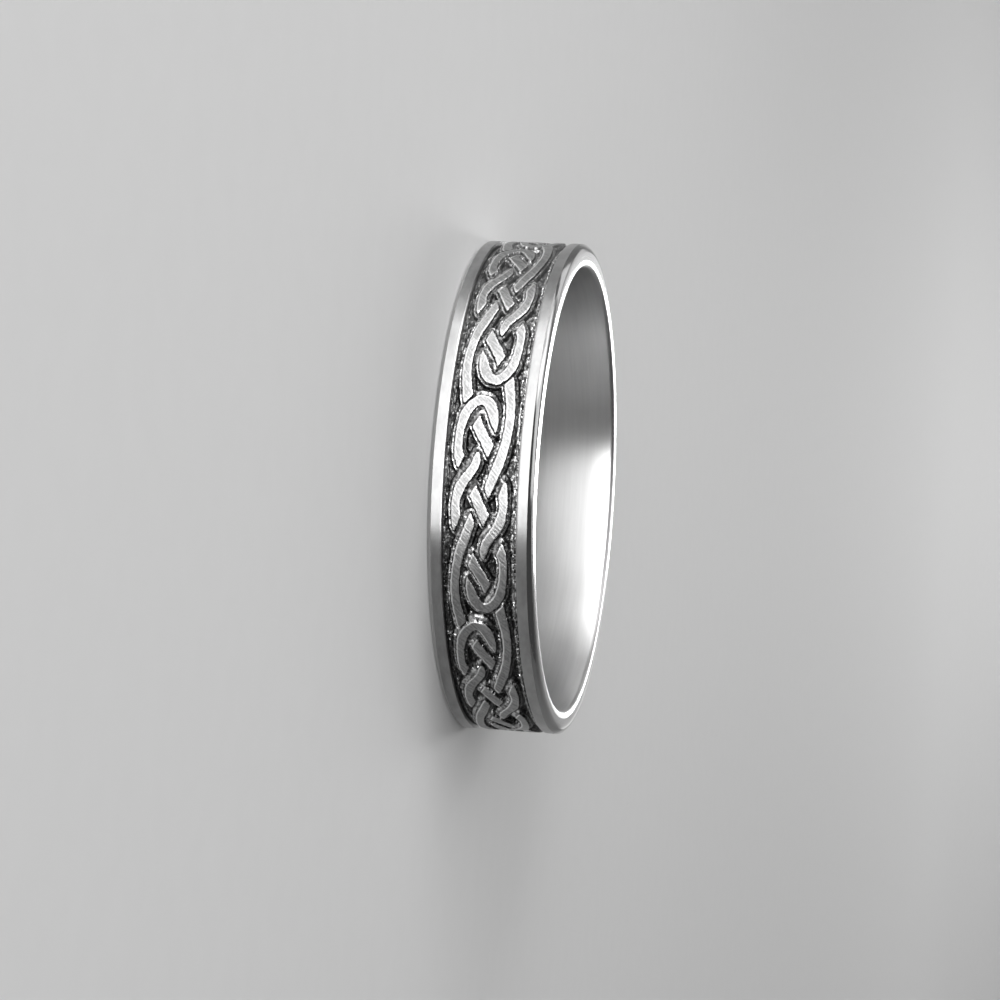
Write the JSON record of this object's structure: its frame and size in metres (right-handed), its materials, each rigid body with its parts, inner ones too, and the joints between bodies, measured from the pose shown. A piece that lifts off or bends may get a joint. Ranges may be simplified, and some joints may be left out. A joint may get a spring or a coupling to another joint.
{
  "type": "wedding ring",
  "caption": "Steel wedding band with plain rims, a sunk darkened channel holding a raised traditional interlace, and a plain round bore.",
  "frame": {"origin": "centre of the lower side face, on the surface that the ring lies on", "axes": "+Z along the finger, out of the upper side face; -Y towards the viewer"},
  "size_m": [0.021, 0.021, 0.0043],
  "materials": {
    "steel": "bright rims and strand tops with a fine brush, polished bore, blackened grainy channel floor"
  },
  "bodies": {
    "root": {"band": "steel"}
  },
  "joints": []
}
